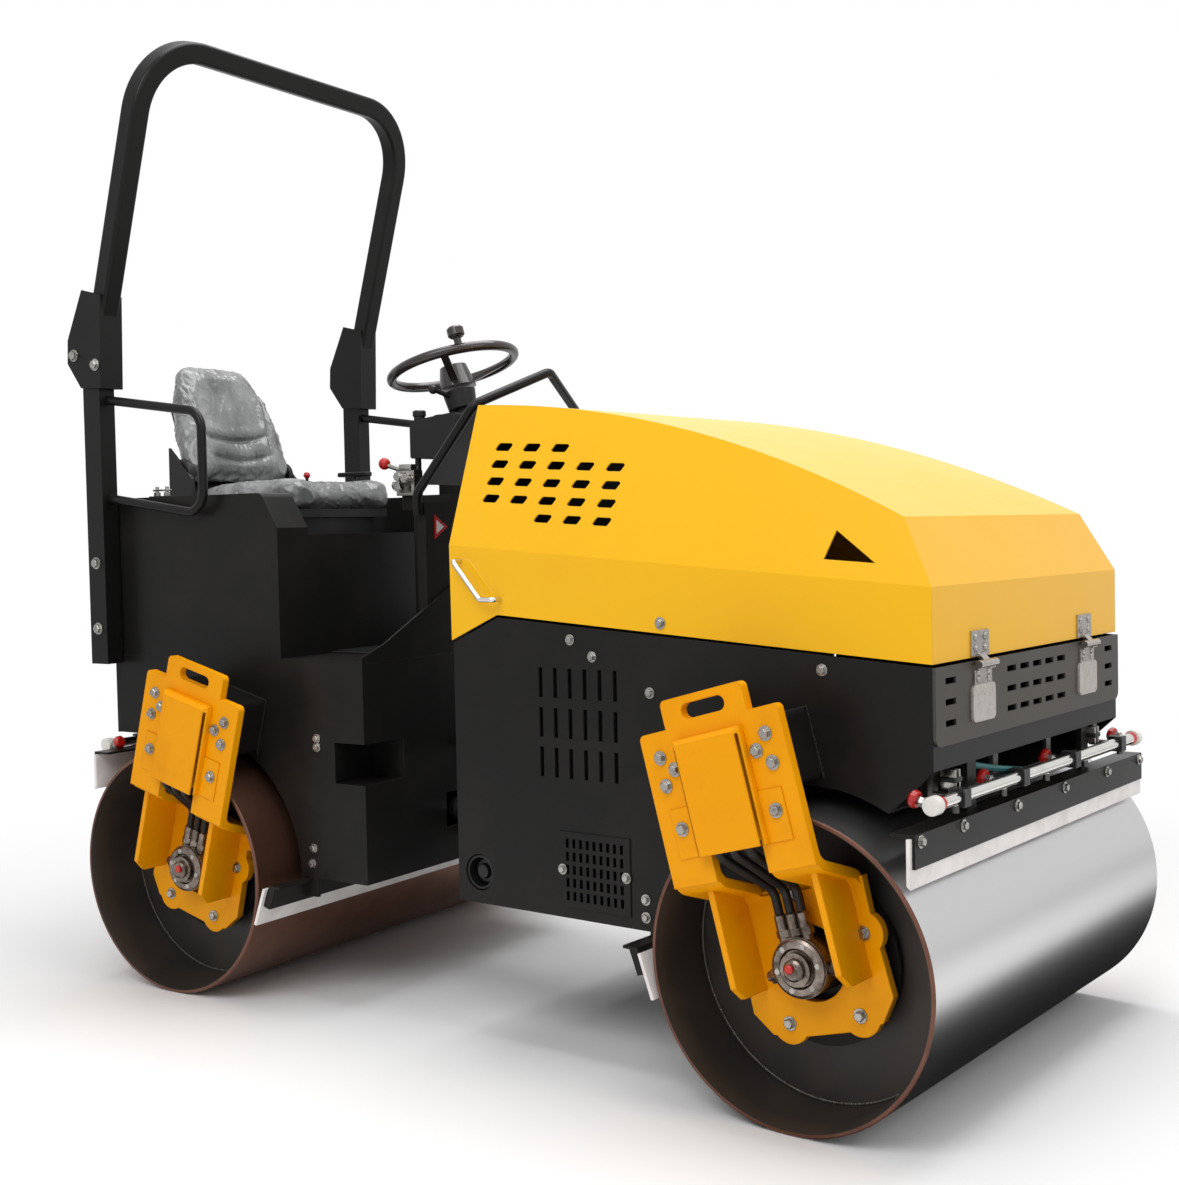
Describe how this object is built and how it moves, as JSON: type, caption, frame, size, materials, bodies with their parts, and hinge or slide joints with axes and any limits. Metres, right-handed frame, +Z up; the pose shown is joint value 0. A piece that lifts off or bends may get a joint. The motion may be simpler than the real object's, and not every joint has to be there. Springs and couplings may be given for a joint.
{
  "type": "tandem road roller",
  "caption": "Articulated ride-on tandem road roller with smooth steel drums, tilting yellow hood, folding roll-over hoop and driver's station.",
  "frame": {"origin": "middle of the machine's footprint box, on the ground, in the rest pose", "axes": "+X forward along the front frame, +Y to the driver's left, +Z up"},
  "size_m": [2.6033, 1.39, 2.4856],
  "materials": {
    "black_plastic": "black moulded plastic",
    "blade_plastic": "white scraper plastic",
    "carrier_paint": "semi-gloss orange-yellow enamel",
    "cover_paint": "semi-gloss orange-yellow enamel on folded sheet",
    "drum_steel": "machined rolled steel",
    "frame_paint": "satin charcoal enamel",
    "hood_paint": "gloss yellow enamel",
    "hose_rubber": "matt black hose",
    "motor_iron": "painted casting",
    "pipe_zinc": "zinc-plated pipe",
    "rod_chrome": "hard chrome",
    "seat_vinyl": "black vinyl",
    "stainless": "brushed stainless",
    "tube_paint": "satin black powder coat"
  },
  "bodies": {
    "front_frame": {"front_chassis": "frame_paint", "engine_bulkhead": "frame_paint", "engine_block": "motor_iron", "front_carrier_arms": "frame_paint", "front_carrier_covers": "cover_paint", "front_carrier_left": "carrier_paint", "front_carrier_right": "carrier_paint", "front_grille": "frame_paint", "front_hoses": "hose_rubber", "front_motors": "motor_iron", "front_scraper_blades": "blade_plastic", "front_scraper_holders": "frame_paint", "front_spray_bar": "pipe_zinc", "side_louvres": "frame_paint"},
    "hood": {"hood": "hood_paint", "hood_handles": "stainless", "hood_hinges": "stainless"},
    "front_drum": {"front_drum": "drum_steel"},
    "steering_knuckle": {"steering_knuckle": "frame_paint"},
    "rear_frame": {"rear_chassis": "frame_paint", "deck": "frame_paint", "seat_housing": "frame_paint", "console": "frame_paint", "dash": "black_plastic", "dash_guard": "tube_paint", "dash_guard_panel": "frame_paint", "steering_column": "black_plastic", "travel_lever": "black_plastic", "seat_base": "black_plastic", "seat_cushion": "seat_vinyl", "seat_backrest": "seat_vinyl", "handrails": "tube_paint", "rops_posts": "tube_paint", "rear_carrier_arms": "frame_paint", "rear_carrier_covers": "cover_paint", "rear_carrier_left": "carrier_paint", "rear_carrier_right": "carrier_paint", "rear_hoses": "hose_rubber", "rear_motors": "motor_iron", "rear_scraper_blades": "blade_plastic", "rear_scraper_holders": "frame_paint", "rear_spray_bar": "pipe_zinc"},
    "rear_drum": {"rear_drum": "drum_steel"},
    "rops_hoop": {"rops_hoop": "tube_paint"},
    "steering_wheel": {"steering_wheel": "black_plastic"},
    "cylinder_barrel": {"cylinder_barrel": "frame_paint"},
    "cylinder_rod": {"cylinder_rod": "rod_chrome"}
  },
  "joints": [
    {"name": "frame_roll", "type": "hinge", "parent": "front_frame", "child": "steering_knuckle", "pos_m": [-0.04025, 0.03102, 0.5], "axis": [1, 0, 0], "range_deg": [-8, 8]},
    {"name": "steer", "type": "hinge", "parent": "steering_knuckle", "child": "rear_frame", "pos_m": [-0.04025, 0.03102, 0.5], "axis": [0, 0, 1], "range_deg": [-34.7, 25.3]},
    {"name": "front_drum_spin", "type": "hinge", "parent": "front_frame", "child": "front_drum", "pos_m": [0.99174, 0.03102, 0.31], "axis": [0, 1, 0], "continuous": true},
    {"name": "rear_drum_spin", "type": "hinge", "parent": "rear_frame", "child": "rear_drum", "pos_m": [-0.83457, -0.03428, 0.31], "axis": [-0.0819, 0.9966, 0], "continuous": true},
    {"name": "hood_hinge", "type": "hinge", "parent": "front_frame", "child": "hood", "pos_m": [1.26475, 0.03102, 0.888], "axis": [0, 1, 0], "range_deg": [0, 60]},
    {"name": "rops_fold", "type": "hinge", "parent": "rear_frame", "child": "rops_hoop", "pos_m": [-1.19436, -0.06386, 1.655], "axis": [0.0819, -0.9966, 0], "range_deg": [0, 110]},
    {"name": "steering_wheel_spin", "type": "hinge", "parent": "rear_frame", "child": "steering_wheel", "pos_m": [-0.35021, 0.00554, 1.604], "axis": [-0.2579, -0.0212, 0.9659], "continuous": true},
    {"name": "cylinder_swing", "type": "hinge", "parent": "rear_frame", "child": "cylinder_barrel", "pos_m": [-0.46659, -0.10437, 0.446], "axis": [0, 0, 1], "range_deg": [-5.81, 4.37]},
    {"name": "cylinder_stroke", "type": "slide", "parent": "cylinder_barrel", "child": "cylinder_rod", "axis": [0.998, 0.063, 0], "range_m": [-0.05072, 0.06919]}
  ],
  "couplings": [
    {"joint": "cylinder_swing", "follows": "steer", "ratio": 0.15311},
    {"joint": "cylinder_stroke", "follows": "steer", "m_per_rad": -0.11259}
  ]
}
